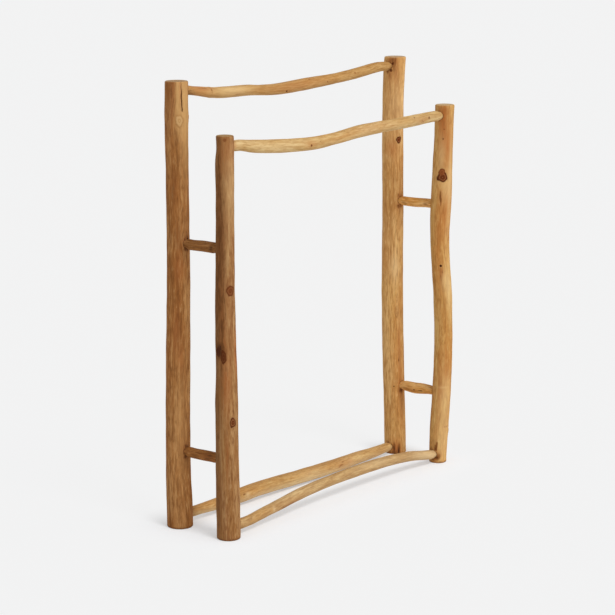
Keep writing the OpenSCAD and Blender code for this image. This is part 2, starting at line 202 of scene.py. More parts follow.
def peeledTeak(name, look):
    # Air-dried teak branch, bark peeled and lightly sanded, unvarnished: matt, golden to brown,
    # with darker bands of late growth along it, red-brown knots and brown glue stains. Up close
    # it gives short wavy strokes, fine fibres and open pores.
    material = bpy.data.materials.new(name)
    material.use_nodes = True
    tree = material.node_tree
    tree.nodes.clear()

    def attribute(attributeName, output="Fac"):
        return addNode(tree, "ShaderNodeAttribute",
                       {"attribute_name": attributeName}).outputs[output]

    def sums(operation, a, b=None, c=None, clamp=False):
        links, values = {}, {}
        for socket, value in ((0, a), (1, b), (2, c)):
            if isinstance(value, (int, float)):
                values[socket] = value
            elif value is not None:
                links[socket] = value
        return addNode(tree, "ShaderNodeMath", {"operation": operation, "use_clamp": clamp},
                       values, links).outputs[0]

    def between(value, low, high, toLow=0.0, toHigh=1.0):
        return addNode(tree, "ShaderNodeMapRange", {"interpolation_type": "SMOOTHSTEP"},
                       {"From Min": low, "From Max": high, "To Min": toLow, "To Max": toHigh},
                       {"Value": value}).outputs["Result"]

    def blend(share, first, second):
        node = addNode(tree, "ShaderNodeMix", {"data_type": "RGBA"})
        for socket, value in ((0, share), (6, first), (7, second)):
            if isinstance(value, str):
                node.inputs[socket].default_value = linear(value)
            elif isinstance(value, (int, float, tuple)):
                node.inputs[socket].default_value = value
            else:
                tree.links.new(value, node.inputs[socket])
        return node.outputs[2]

    def pattern(kind, source, detail, roughness=0.55, output="Fac"):
        size, run = grainSize[kind]
        stretched = addNode(tree, "ShaderNodeVectorMath", {"operation": "MULTIPLY"},
                            {1: (1, 1, 1 / run)}, {0: source}).outputs["Vector"]
        return addNode(tree, "ShaderNodeTexNoise", {"noise_dimensions": "3D"},
                       {"Scale": 1 / (2 * size * mm), "Detail": detail, "Roughness": roughness},
                       {"Vector": stretched}).outputs[output]

    straight = attribute("grain", "Vector")
    knot, knotDark = attribute("knot"), attribute("knotDark")
    knotRed, knotRings = attribute("knotRed"), attribute("knotRings")
    stain, bloom, redness = attribute("stain"), attribute("bloom"), attribute("redness")

    # the fibres wander, so every pattern is read a little to the side
    wander = addNode(tree, "ShaderNodeVectorMath", {"operation": "SUBTRACT"},
                     {1: (0.5, 0.5, 0.5)},
                     {0: pattern("wave", straight, 2, output="Color")}).outputs["Vector"]
    grain = addNode(tree, "ShaderNodeVectorMath", {"operation": "MULTIPLY_ADD"},
                    {1: (2 * waveReach * mm, 2 * waveReach * mm, 0)},
                    {0: wander, 2: straight}).outputs["Vector"]
    fibre = pattern("fibre", grain, 4, 0.65)
    stroke = pattern("stroke", grain, 3, 0.6)
    band = pattern("band", grain, 4, 0.6)
    blotch = pattern("blotch", grain, 4, 0.6)
    cloud = pattern("cloud", grain, 2)
    pore = pattern("pore", grain, 1)

    patterns = {"blotch": blotch, "band": band, "stroke": stroke, "fibre": fibre}
    body = blend(between(cloud, 0.38, 0.62), look["main"], look["second"])
    for kind, start, full, strength, colour in grainLayers:
        body = blend(between(patterns[kind], start, full, 0, look[strength]), body, look[colour])
    body = blend(between(pore, 0.34, 0.24, 0, 0.3), body, look["deep"])
    body = blend(redness, body, look["red"])
    # paler wood, and painted light along the underside of the rear bottom rail
    body = blend(bloom, body, look["bleached"])

    # stains and painted shade run along the fibres: brown at first, near black where they are
    # strong
    ragged = sums("MULTIPLY_ADD", sums("ADD", fibre, stroke), 1.3, sums("SUBTRACT", stain, 1.3))
    weak = sums("MULTIPLY", between(ragged, 0.08, 0.7, 0, 0.92), between(stain, 0.03, 0.25))
    strong = sums("MULTIPLY", between(ragged, 0.6, 1.1), between(stain, 0.35, 0.8))
    body = blend(weak, body, look["stain"])
    body = blend(strong, body, look["deep"])

    # knots: a warm halo, an even or ringed face, red, dark or pale, and a dark rim
    uneven = sums("MULTIPLY_ADD", stroke, 0.8, sums("SUBTRACT", knot, 0.4))
    halo = sums("MULTIPLY", between(uneven, 1.9, 1.0), sums("MULTIPLY", knotDark, 0.15))
    face = blend(knotRed, look["knot"], look["knotRed"])
    face = blend(sums("MULTIPLY", knotRed, -1.0), face, look["knotPale"])
    years = sums("SINE", sums("MULTIPLY_ADD", uneven, 11.0, -1.57))
    face = blend(sums("MULTIPLY", between(years, -0.1, 0.9), sums("MULTIPLY", knotRings, 0.8)),
                 face, look["knotRim"])
    face = blend(sums("MULTIPLY", between(years, -0.3, -1.0), sums("MULTIPLY", knotRings, 0.25)),
                 face, look["knotPale"])
    inside = sums("MULTIPLY", between(uneven, 1.08, 0.94), knotDark)
    rim = sums("MULTIPLY", between(uneven, 0.8, 0.95), between(uneven, 1.2, 1.0))
    rim = sums("MULTIPLY", rim, sums("MULTIPLY", knotDark, knotRings))
    body = blend(halo, body, look["streak"])
    body = blend(inside, body, face)
    body = blend(rim, body, look["knotRim"])

    # sawn ends, with growth rings
    flat = addNode(tree, "ShaderNodeVectorMath", {"operation": "MULTIPLY"},
                   {1: (1, 1, 0)}, {0: straight}).outputs["Vector"]
    reach = addNode(tree, "ShaderNodeVectorMath", {"operation": "LENGTH"},
                    links={0: flat}).outputs["Value"]
    rings = sums("MULTIPLY_ADD", cloud, 12.0,
                 sums("MULTIPLY", reach, 2 * math.pi / yearRing / mm))
    sawn = blend(between(sums("SINE", rings), 0.0, 1.0, 0, 0.5), look["sawn"], look["streak"])
    body = blend(attribute("endGrain"), body, sawn)

    height = sums("MULTIPLY_ADD", fibre, 0.5, sums("MULTIPLY", band, 0.8))
    height = sums("MULTIPLY_ADD", stroke, 0.4, height)
    height = sums("SUBTRACT", height, sums("MULTIPLY", between(pore, 0.34, 0.24), 0.4))
    height = sums("SUBTRACT", height, sums("MULTIPLY", rim, 0.5))
    bump = addNode(tree, "ShaderNodeBump",
                   values={"Strength": look["relief"], "Distance": grainDepth * mm},
                   links={"Height": height})
    gloss = between(fibre, 0.3, 0.7, look["rough"] + 0.08, look["rough"] - 0.06)
    skin = addNode(tree, "ShaderNodeBsdfPrincipled",
                   values={"IOR": 1.5, "Specular IOR Level": woodSheen},
                   links={"Base Color": body, "Roughness": gloss,
                          "Normal": bump.outputs["Normal"]})
    addNode(tree, "ShaderNodeOutputMaterial", links={"Surface": skin.outputs[0]})
    return material


nailSteel = {
    "mottle": 0.4,  # mm
    "rough": (0.32, 0.52),
    "dark": "#A9A7A2", "bright": "#C2C0BB",
}


def drawnSteel(name):
    # Drawn wire nail with an upset head, bare low-carbon steel: grey, half dull
    material = bpy.data.materials.new(name)
    material.use_nodes = True
    tree = material.node_tree
    tree.nodes.clear()
    where = addNode(tree, "ShaderNodeTexCoord").outputs["Object"]
    mottle = addNode(tree, "ShaderNodeTexNoise",
                     values={"Scale": 1 / (nailSteel["mottle"] * mm), "Detail": 2},
                     links={"Vector": where}).outputs["Fac"]
    low, high = nailSteel["rough"]
    dull = addNode(tree, "ShaderNodeMapRange", values={"To Min": low, "To Max": high},
                   links={"Value": mottle})
    tint = addNode(tree, "ShaderNodeMix", {"data_type": "RGBA"},
                   {6: linear(nailSteel["dark"]), 7: linear(nailSteel["bright"])}, {0: mottle})
    skin = addNode(tree, "ShaderNodeBsdfPrincipled", values={"Metallic": 1.0},
                   links={"Base Color": tint.outputs[2], "Roughness": dull.outputs["Result"]})
    addNode(tree, "ShaderNodeOutputMaterial", links={"Surface": skin.outputs[0]})
    return material


# Reading the frame: where each branch runs and how thick it is
postAxis, railAxis, rungAxis = 2, 0, 1
axisOf = {"post": postAxis, "rail": railAxis, "rung": rungAxis}
ringSides = {postAxis: 24, railAxis: 16, rungAxis: 16}
# mm between the places that are tried, within which points share a ring, and between rings
ringStep, ringFlat, ringApart = 0.02, 0.03, 0.05


def goesRound(ring):
    # whether points lie on all eight sides of their middle, as a full ring's do
    offset = ring - (ring.min(axis=0) + ring.max(axis=0)) / 2
    reach = np.hypot(offset[:, 0], offset[:, 1])
    outer = offset[reach > 0.8 * reach.max()]
    turns = np.arctan2(outer[:, 1], outer[:, 0])
    return len(np.unique(np.floor(turns / (math.pi / 4)))) >= 8


def circleThrough(ring, sides):
    # centre, radius and out-of-round of the outermost points of one ring
    centre = (ring.min(axis=0) + ring.max(axis=0)) / 2
    for _ in range(4):
        offset = ring - centre
        reach = np.hypot(offset[:, 0], offset[:, 1])
        outer = np.argsort(-reach)[:sides]
        angle = np.arctan2(offset[outer, 1], offset[outer, 0])
        terms = np.stack([np.ones(len(outer)), np.cos(angle), np.sin(angle),
                          np.cos(2 * angle), np.sin(2 * angle)], axis=1)
        fit = np.linalg.lstsq(terms, reach[outer], rcond=None)[0]
        centre = centre + fit[1:3]
    return [centre[0], centre[1], fit[0], fit[3], fit[4]]


def readBranch(node, axis):
    # the full rings of the frame's skin, as places along the branch and circles there
    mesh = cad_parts[node].data
    points = np.empty(len(mesh.vertices) * 3)
    mesh.vertices.foreach_get("co", points)
    points = np.unique(points.reshape(-1, 3).round(6), axis=0)
    along = points[:, axis]
    across = points[:, [(axis + 1) % 3, (axis + 2) % 3]]
    places, circles = [], []
    for place in np.unique((along / (ringStep * mm)).round()) * ringStep * mm:
        ring = across[np.abs(along - place) < ringFlat * mm]
        if len(ring) >= 0.7 * ringSides[axis] and goesRound(ring):
            places.append(place)
            circles.append(circleThrough(ring, ringSides[axis]))
    keep = [i for i in range(len(places))
            if i == 0 or places[i] - places[i - 1] > ringApart * mm]
    return {"places": np.array(places)[keep], "circles": np.array(circles)[keep],
            "low": along.min(), "high": along.max()}


def follow(branch, at):
    # a smooth curve through the rings: centre, radius and out-of-round at each place
    places, circles = branch["places"], branch["circles"]
    slopes = np.gradient(circles, places, axis=0)
    at = np.clip(at, places[0], places[-1])
    i = np.clip(np.searchsorted(places, at) - 1, 0, len(places) - 2)
    step = (places[i + 1] - places[i])[:, None]
    u = ((at - places[i]) / step[:, 0])[:, None]
    return (circles[i] * (1 + 2 * u) * (1 - u) ** 2 + slopes[i] * step * u * (1 - u) ** 2
            + circles[i + 1] * u * u * (3 - 2 * u) - slopes[i + 1] * step * u * u * (1 - u))


skinStep = {"along": 1.35 * mm, "around": 1.35 * mm, "cap": 1.6 * mm}
endEase = 2.5 * mm  # rounded edge at the sawn ends of a post
tenonEase = 0.8 * mm  # and at the end of a tenon
shoulderZone = 5 * mm  # the frame's rings nearer than this to a tenon's end are the tenon's own
shoulderRun = 14 * mm  # how far from its shoulder a rail is still plain and round


def postRows(branch):
    # rows of the skin from the foot's centre, up the side, to the top's centre: each one's
    # place, radius, share of the branch's uneven shape, and circle
    branch["ends"] = (branch["low"], branch["high"])
    keep = (branch["places"] > branch["low"] + 0.9 * endEase)
    keep &= branch["places"] < branch["high"] - 0.9 * endEase
    branch["places"], branch["circles"] = branch["places"][keep], branch["circles"][keep]
    low, high = branch["low"], branch["high"]
    girth = branch["circles"][:, 2].mean()
    cap = [(low, endEase, share) for share in np.linspace(0.05, 1, int(girth / skinStep["cap"]))]
    ease = [(low + endEase * (1 - math.cos(a)), endEase * (1 - math.sin(a)), 1)
            for a in np.linspace(0, math.pi / 2, 5)[1:-1]]
    count = int((high - low - 2 * endEase) / skinStep["along"])
    side = [(place, 0, 1) for place in np.linspace(low + endEase, high - endEase, count)]
    top = [(low + high - place, inset, share) for place, inset, share in (cap + ease)[::-1]]
    rows = np.array(cap + ease + side + top)
    circles = follow(branch, rows[:, 0])
    radius = (circles[:, 2] - rows[:, 1]) * rows[:, 2]
    natural = rows[:, 2] ** 2 * smooth(1 - rows[:, 1] / endEase * 0.6)
    return rows[:, 0], radius, natural, circles


def railRows(branch):
    # the same from one tenon's end, over its shoulder, to the other tenon's end
    places, circles = branch["places"], branch["circles"]
    low, high = branch["low"], branch["high"]
    tenonRadius = circles[0][2]
    body = (places > low + shoulderZone) & (places < high - shoulderZone)
    start, end = places[body][0], places[body][-1]
    branch["ends"], branch["tenonRadius"] = (start, end), tenonRadius
    branch["tenonCentres"] = (circles[0][:2], circles[-1][:2])
    branch["places"], branch["circles"] = places[body], circles[body]
    cap = [(low, share * (tenonRadius - tenonEase)) for share in np.linspace(0.08, 1, 5)]
    cap += [(low + tenonEase, tenonRadius)]
    cap += [(place, tenonRadius) for place in np.linspace(low + tenonEase, start, 7)[1:]]
    tail = [(low + high - place, radius) for place, radius in cap[::-1]]
    tailShift = (start - low) - (high - end)  # the two tenons differ a little in length
    tail = [(min(high, max(end, place - tailShift * (high - place) / (start - low))), radius)
            for place, radius in tail]
    count = int((end - start) / skinStep["along"])
    side = np.linspace(start, end, count)
    sideRadius = follow(branch, side)[:, 2]
    rows = np.array(cap + list(zip(side, sideRadius)) + tail)
    circles = follow(branch, rows[:, 0])
    near = np.minimum(rows[:, 0] - start, end - rows[:, 0])
    natural = smooth(near / shoulderRun)
    circles[:, 3:] *= (near >= 0)[:, None]
    return rows[:, 0], rows[:, 1], natural, circles


# the slow hills and flutes of a peeled branch: how many go round it, their length along it in
# mm, and their share of its lumps
flutes = [(1, 150, 0.5), (2, 90, 0.8), (3, 120, 0.7), (4, 60, 0.45),
          (5, 170, 0.4), (7, 80, 0.28), (9, 45, 0.2), (12, 70, 0.14)]
crackWobble = [(0.015, 7), (0.00875, 2.9)]  # radians to each side, and mm per radian of wave


def lumps(angle, along, seed, size):
    rng = np.random.default_rng(seed)
    total = np.zeros_like(angle)
    for around, run, share in flutes:
        phase, drift = rng.uniform(0, 2 * math.pi, 2)
        swing = np.sin(2 * math.pi * along / (run * mm) + phase)
        total += share * swing * np.cos(around * angle + drift + along / (0.4 * run * mm))
    return total * size * mm / 2


def nearestMark(mark, angle, along, radius):
    # across and along distances from a mark, in metres, the short way round the branch
    turn = (angle - math.radians(mark[1]) + math.pi) % (2 * math.pi) - math.pi
    return turn * radius, along - mark[0] * mm


def knotReach(knot, across, up):
    # 0 at the knot's heart and 1 at its rim, with a slightly uneven outline
    turn = np.arctan2(up / knot[3], across / knot[2])
    reach = np.hypot(across / (knot[2] * mm), up / (knot[3] * mm))
    uneven = 0.06 * np.cos(3 * turn + knot[0]) + 0.05 * np.cos(5 * turn + knot[1])
    return reach * (1 + uneven)


# a knot's height as a share of its half size, and the groove at its rim; reaches are in rims
knotForm = {"height": 0.07, "reach": 1.8, "groove": 0.45, "grooveAt": 1.05, "grooveWidth": 0.22}


def shapeOf(piece, angle, along, radius):
    # how far the skin stands out from the frame's smooth branch
    out = lumps(angle, along, piece["seed"], piece["lumps"])
    for knot in piece.get("knots", []):
        across, up = nearestMark(knot, angle, along, radius)
        reach = knotReach(knot, across, up)
        swell = knotForm["height"] * math.sqrt(knot[2] * knot[3]) * knot[5] * mm
        out += swell * np.exp(-(reach / knotForm["reach"]) ** 2)
        fromGroove = (reach - knotForm["grooveAt"]) / knotForm["grooveWidth"]
        out -= knotForm["groove"] * swell * np.exp(-fromGroove ** 2)
    for crack in piece.get("cracks", []):
        gap, run = crackGap(crack, angle, along, radius)
        out -= crack[5] * mm * np.exp(-(gap / (0.9 * crack[4] * mm)) ** 2) * run
    for step in piece.get("steps", []):
        out += step[1] * mm * np.exp(-((along - step[0] * mm) / (step[2] * mm)) ** 2)
    return out


def crackGap(crack, angle, along, radius):
    # distance from a crack's line, and how open it is there
    start, end, turnStart, turnEnd = crack[:4]
    share = (along - start * mm) / ((end - start) * mm)
    middle = math.radians(turnStart) + np.clip(share, 0, 1) * math.radians(turnEnd - turnStart)
    for swing, length in crackWobble:
        middle = middle + swing * np.sin(along / (length * mm))
    turn = (angle - middle + math.pi) % (2 * math.pi) - math.pi
    run = smooth(share * crack[6] + 0.02) * smooth((1 - share) * crack[7] + 0.02)
    return np.abs(turn) * radius / (0.4 + 0.6 * run), run * ((share > -0.01) & (share < 1.01))


def rolledSkin(name, places, radius, natural, circles, piece, axis):
    # a flat grid rolled round the branch, closed along its seam and at both ends
    around = int(2 * math.pi * np.median(radius) / skinStep["around"])
    shape = bmesh.new()
    bmesh.ops.create_grid(shape, x_segments=around, y_segments=len(places) - 1, size=0.5)
    mesh = bpy.data.meshes.new(name)
    shape.to_mesh(mesh)
    shape.free()
    flat = np.empty(len(mesh.vertices) * 3)
    mesh.vertices.foreach_get("co", flat)
    flat = flat.reshape(-1, 3)
    column = np.rint((flat[:, 0] + 0.5) * around).astype(int)
    row = np.rint((flat[:, 1] + 0.5) * (len(places) - 1)).astype(int)
    angle = 2 * math.pi * (column % around) / around
    along, ring = places[row], circles[row]
    oval = ring[:, 3] * np.cos(2 * angle) + ring[:, 4] * np.sin(2 * angle)
    reach = radius[row] + natural[row] * oval
    reach += natural[row] * shapeOf(piece, angle, along, ring[:, 2])
    rolled = np.empty_like(flat)
    rolled[:, axis] = along
    rolled[:, (axis + 1) % 3] = ring[:, 0] + reach * np.cos(angle)
    rolled[:, (axis + 2) % 3] = ring[:, 1] + reach * np.sin(angle)
    mesh.vertices.foreach_set("co", rolled.ravel())
    shape = bmesh.new()
    shape.from_mesh(mesh)
    bmesh.ops.remove_doubles(shape, verts=shape.verts, dist=0.001 * mm)
    rims = [edge for edge in shape.edges if edge.is_boundary]
    caps = bmesh.ops.holes_fill(shape, edges=rims, sides=0)["faces"]
    bmesh.ops.poke(shape, faces=caps)
    bmesh.ops.recalc_face_normals(shape, faces=shape.faces)
    shape.to_mesh(mesh)
    shape.free()
    thing = bpy.data.objects.new(name, mesh)
    bpy.context.scene.collection.objects.link(thing)
    return thing


def drill(shape, start, direction, radius, length, radiusEnd=None):
    # one closed cone or cylinder from start, running length along direction
    way = Vector(direction).normalized()
    turn = way.to_track_quat("Z", "Y").to_matrix().to_4x4()
    place = Matrix.Translation(Vector(start) + way * length / 2) @ turn
    bmesh.ops.create_cone(shape, cap_ends=True, segments=64, radius1=radius,
                          radius2=radius if radiusEnd is None else radiusEnd, depth=length,
                          matrix=place)


def cutBores(thing, bores):
    # real mortises and nail holes, cut with closed drills
    for bore in bores:
        shape = bmesh.new()
        drill(shape, *bore)
        mesh = bpy.data.meshes.new("drill")
        shape.to_mesh(mesh)
        shape.free()
        tool = bpy.data.objects.new("drill", mesh)
        bpy.context.scene.collection.objects.link(tool)
        cut = thing.modifiers.new("bore", "BOOLEAN")
        cut.operation, cut.solver, cut.object = "DIFFERENCE", "MANIFOLD", tool
        bpy.context.view_layer.update()
        solid = bpy.data.meshes.new_from_object(thing.evaluated_get(
            bpy.context.evaluated_depsgraph_get()))
        thing.modifiers.clear()
        old = thing.data
        thing.data = solid
        solid.name = thing.name
        bpy.data.meshes.remove(old)
        bpy.data.objects.remove(tool)
        bpy.data.meshes.remove(mesh)


# how far each mark reaches, in mm: the ring of glue, its run along the grain, the wood that it
# reddens and the streaks in it, and the painted shade at the foot of a post
markReach = {"glue": 1.3, "glueRun": 9, "glueRed": 4, "glueStreak": 0.9, "foot": 5}
partingReach, partingPush = 2.2, 0.8  # how far and how hard fibres part round a knot


def paintMarks(thing, piece, axis, branch, mouths):
    # what the finish reads at each point: where it lies in the straightened branch, its
    # distance from a knot, its stains and painted shade, its paleness and painted light, and its
    # redness
    mesh = thing.data
    points = np.empty(len(mesh.vertices) * 3)
    mesh.vertices.foreach_get("co", points)
    points = points.reshape(-1, 3)
    along = points[:, axis]
    ring = follow(branch, along)
    offset = points[:, [(axis + 1) % 3, (axis + 2) % 3]] - ring[:, :2]
    angle = np.arctan2(offset[:, 1], offset[:, 0])
    reach = np.hypot(offset[:, 0], offset[:, 1])
    surface = ring[:, 2]

    bentAngle = angle.copy()
    knotField = np.full(len(angle), 3.0)
    knotTone = np.zeros((3, len(angle)))
    for knot in piece.get("knots", []):
        across, up = nearestMark(knot, angle, along, surface)
        near = knotReach(knot, across, up)
        closer = near < knotField
        knotField = np.where(closer, near, knotField)
        for tone, value in zip(knotTone, (knot[4], knot[6], knot[7])):
            tone[closer] = value
        # fibres part round the knot, as water does round a stone
        away = np.hypot(across / (knot[2] * mm), up / (partingReach * knot[3] * mm))
        spread = np.exp(-(away / partingReach) ** 2)
        push = partingPush * spread * np.tanh(across / (knot[2] * mm))
        bentAngle -= push * knot[2] * mm / surface

    stain = np.zeros(len(angle))
    bloom = np.zeros(len(angle))
    redness = np.zeros(len(angle))
    for crack in piece.get("cracks", []):
        gap, run = crackGap(crack, angle, along, surface)
        stain = np.maximum(stain, run * (0.85 * np.exp(-(gap / (1.2 * crack[4] * mm)) ** 2)
                                         + 0.15 * np.exp(-(gap / (4 * crack[4] * mm)) ** 2)))
    # patches darken or pale the wood; a few of them are painted shade and painted light along a
    # whole side
    for patch in piece.get("patches", []):
        across, up = nearestMark(patch, angle, along, surface)
        soft = np.exp(-np.hypot(across / (patch[2] * mm), up / (patch[3] * mm)) ** 2)
        darker, paler = max(patch[4], 0), max(-patch[4], 0)
        stain = stain + darker * soft * (1 - stain)
        bloom = bloom + paler * soft * (1 - bloom)
        redness = redness + patch[5] * soft * (1 - redness)
    for centre, direction, bore in mouths:
        # a thin patchy ring of dark glue round each tenon, which runs out along the grain
        gap = points - np.array(centre)
        sideways = gap - np.outer(gap @ np.array(direction), direction)
        away = np.linalg.norm(sideways, axis=1)
        facing = smooth((gap @ np.array(direction)) / (surface * 0.5))
        aside = sideways.sum(axis=1) - sideways[:, axis]
        turn = np.arctan2(sideways[:, axis], aside) + centre[axis] * 9
        patchy = np.clip(0.55 + 0.35 * np.sin(2 * turn) + 0.3 * np.sin(5 * turn + 1), 0.1, 1)
        streaky = 0.7 + 0.3 * np.sin(aside / (markReach["glueStreak"] * mm) + turn)
        outside = np.maximum(away - bore, 0)
        glueRing = np.exp(-(outside / (markReach["glue"] * mm)) ** 2)
        runOut = np.exp(-(outside / (markReach["glueRun"] * mm)) ** 2)
        runOut = runOut * np.exp(-(aside / (1.2 * bore)) ** 2)
        red = np.exp(-(outside / (markReach["glueRed"] * mm)) ** 2)
        stain = np.maximum(stain, facing * glueRing * (0.5 + patchy / 2))
        stain = np.maximum(stain, facing * piece.get("runOut", 0.5) * runOut * patchy * streaky)
        redness = np.maximum(redness, 0.5 * facing * red * patchy)
    low, high = branch["ends"]
    sawn = smooth((np.maximum(low + 0.6 * mm - along, along - high + 0.6 * mm)) / (0.5 * mm))
    if axis == postAxis:
        # painted shade round the foot of each post, where it stands on the floor, but not on its
        # sawn end
        foot = np.exp(-((along - low) / (markReach["foot"] * mm)) ** 2) * (1 - sawn)
        stain = np.maximum(stain, 0.5 * foot)

    grain = np.stack([reach * np.cos(bentAngle), reach * np.sin(bentAngle),
                      along + piece["seed"] * 1.7], axis=1)
    store = mesh.attributes.new("grain", "FLOAT_VECTOR", "POINT")
    store.data.foreach_set("vector", grain.astype(np.float32).ravel())
    for name, values in (("knot", knotField), ("knotDark", knotTone[0]), ("knotRed", knotTone[1]),
                         ("knotRings", knotTone[2]), ("stain", stain), ("bloom", bloom),
                         ("redness", redness), ("endGrain", sawn * (axis == postAxis))):
        store = mesh.attributes.new(name, "FLOAT", "POINT")
        store.data.foreach_set("value", values.astype(np.float32))


sharpEdge = 38  # degrees between faces, from which an edge stays sharp


def finishPiece(thing, node, material):
    mesh = thing.data
    mesh.materials.clear()
    mesh.materials.append(material)
    mesh.shade_smooth()
    mesh.set_sharp_from_angle(angle=math.radians(sharpEdge))
    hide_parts(node)
    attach(thing, "root")


# The joints, as the frame's rails, rungs and nails give them
joint = {
    "glueGap": 0.15 * mm,  # round each tenon
    "behindTenon": 1 * mm,
    "pastShoulder": 30 * mm,  # the drill runs on out of the post
    "mouthStart": 5 * mm,  # inside the shoulder
    "mouthRun": 6 * mm,
    "mouthEase": 0.8 * mm,  # how much wider the mouth gets
}
nail = {
    "headZone": 3 * mm,  # below this the nail is plain shaft
    "fit": 0.04 * mm,
    "tipGap": 0.1 * mm,
    "headSeat": 1.05 * mm,  # depth of the seat that the head lies in
    "drillRun": 20 * mm,  # the drill starts this far outside the head
}
branches = {}
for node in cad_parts:
    kind = node.split("_")[-1]
    if kind in axisOf:
        branches[node] = readBranch(node, axisOf[kind])
rowsOf = {node: (postRows if node.endswith("_post") else railRows)(branch)
          for node, branch in branches.items()}
print("branches read:", len(branches))


def postAt(x, y):
    # the post that stands nearest to a point
    def away(node):
        low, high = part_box(node)
        return math.hypot((low.x + high.x) / 2 - x, (low.y + high.y) / 2 - y)
    return min((n for n in branches if n.endswith("_post")), key=away)


boresOf = {node: [] for node in branches}
mouthsOf = {node: [] for node in branches}
for node, branch in branches.items():
    if node.endswith("_post"):
        continue
    axis = axisOf[node.split("_")[-1]]
    for tip, inward, centre in ((branch["low"], 1, branch["tenonCentres"][0]),
                                (branch["high"], -1, branch["tenonCentres"][1])):
        start = [0.0, 0.0, 0.0]
        start[axis] = tip - inward * joint["behindTenon"]
        start[(axis + 1) % 3], start[(axis + 2) % 3] = centre
        way = [0.0, 0.0, 0.0]
        way[axis] = inward
        post = postAt(start[0], start[1])
        shoulder = branch["ends"][0 if inward > 0 else 1]
        depth = abs(shoulder - start[axis])
        bore = branch["tenonRadius"] + joint["glueGap"]
        boresOf[post].append((tuple(start), tuple(way), bore, depth + joint["pastShoulder"]))
        mouth = list(start)
        mouth[axis] = shoulder - inward * joint["mouthStart"]
        boresOf[post].append((tuple(mouth), tuple(way), bore, joint["mouthRun"],
                              bore + joint["mouthEase"]))
        heart = list(start)
        postCircle = follow(branches[post], np.array([start[2]]))[0]
        heart[axis] = postCircle[0 if axis == railAxis else 1]
        mouthsOf[post].append((tuple(heart), tuple(way), bore))
for node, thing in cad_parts.items():
    if not node.endswith("_nails"):
        continue
    held = node.replace("_nails", "")
    span, side = (railAxis, 1) if held.endswith("_rail") else (rungAxis, 0)
    points = np.array([v.co for v in thing.data.vertices])
    middle = (points[:, span].min() + points[:, span].max()) / 2
    for pin in (points[points[:, span] < middle], points[points[:, span] >= middle]):
        low, high = pin.min(axis=0), pin.max(axis=0)
        head = (low + high) / 2
        head[side] = high[side]
        into = [0.0, 0.0, 0.0]
        into[side] = -1.0
        headRadius = (high[2] - low[2]) / 2
        shaft = pin[pin[:, side] < high[side] - nail["headZone"]]
        shaftRadius = (shaft[:, 2].max() - shaft[:, 2].min()) / 2 + nail["fit"]
        length = high[side] - low[side] + nail["tipGap"]
        outside = head.copy()
        outside[side] += nail["drillRun"]
        post = postAt(head[0], head[1])
        boresOf[post].append((tuple(head), into, shaftRadius, length))
        boresOf[post].append((tuple(outside), into, headRadius + nail["fit"],
                              nail["drillRun"] + nail["headSeat"]))
        boresOf[held].append((tuple(head), into, shaftRadius, length))
print("bores found:", sum(len(b) for b in boresOf.values()))


def tinted(look, red, green, blue):
    # the same palette a little lighter, darker, warmer or cooler, but for its knots
    return {part: tuple(c * t for c, t in zip(linear(value), (red, green, blue, 1)))
            if isinstance(value, str) and "knot" not in part else value
            for part, value in look.items()}


def makeBranch(piece):
    # skin, bores, marks and finish of one branch
    node = piece["node"]
    kind = node.split("_")[-1]
    axis, slotName = axisOf[kind], kind + "_teak"
    thing = rolledSkin(node + "_skin", *rowsOf[node], piece, axis)
    cutBores(thing, boresOf[node])
    paintMarks(thing, piece, axis, branches[node], mouthsOf[node])
    look = tinted(piece["look"], *piece["tint"])
    finishPiece(thing, node, peeledTeak(piece["finish"], look))
    print(node, "made with", len(thing.data.polygons), "faces")


# The palettes, and how strong the parts of the grain are in each
honeyTeak = {
    "main": "#C08848", "second": "#C9944E", "warm": "#BE7C38", "pale": "#DDB06A",
    "streak": "#9C652E", "deep": "#3E2010", "stain": "#7E4C22", "red": "#AE6430",
    "bleached": "#E0BC80", "sawn": "#C6A87A", "knot": "#401E0C", "knotRed": "#86421C",
    "knotPale": "#C9A472", "knotRim": "#45200E", "blotches": 0.45, "bands": 0.45,
    "strokes": 0.55, "fibres": 0.55, "relief": 0.5, "rough": 0.6,
}
brownTeak = {
    **honeyTeak, "main": "#98612B", "second": "#A46E34", "warm": "#935824", "pale": "#C29252",
    "streak": "#70441C", "stain": "#643A19", "bleached": "#CFA25C", "sawn": "#AC8A58",
    "knotRed": "#733A18", "strokes": 0.6, "bands": 0.55,
}
paleTeak = {
    **honeyTeak, "main": "#C49B5A", "second": "#CBA664", "warm": "#C68E46", "pale": "#DEC082",
    "streak": "#A97A40", "stain": "#86592C", "red": "#BC7C44", "bleached": "#E4CB92",
    "blotches": 0.5, "bands": 0.45, "strokes": 0.5, "fibres": 0.5, "relief": 0.35,
    "rough": 0.52,
}

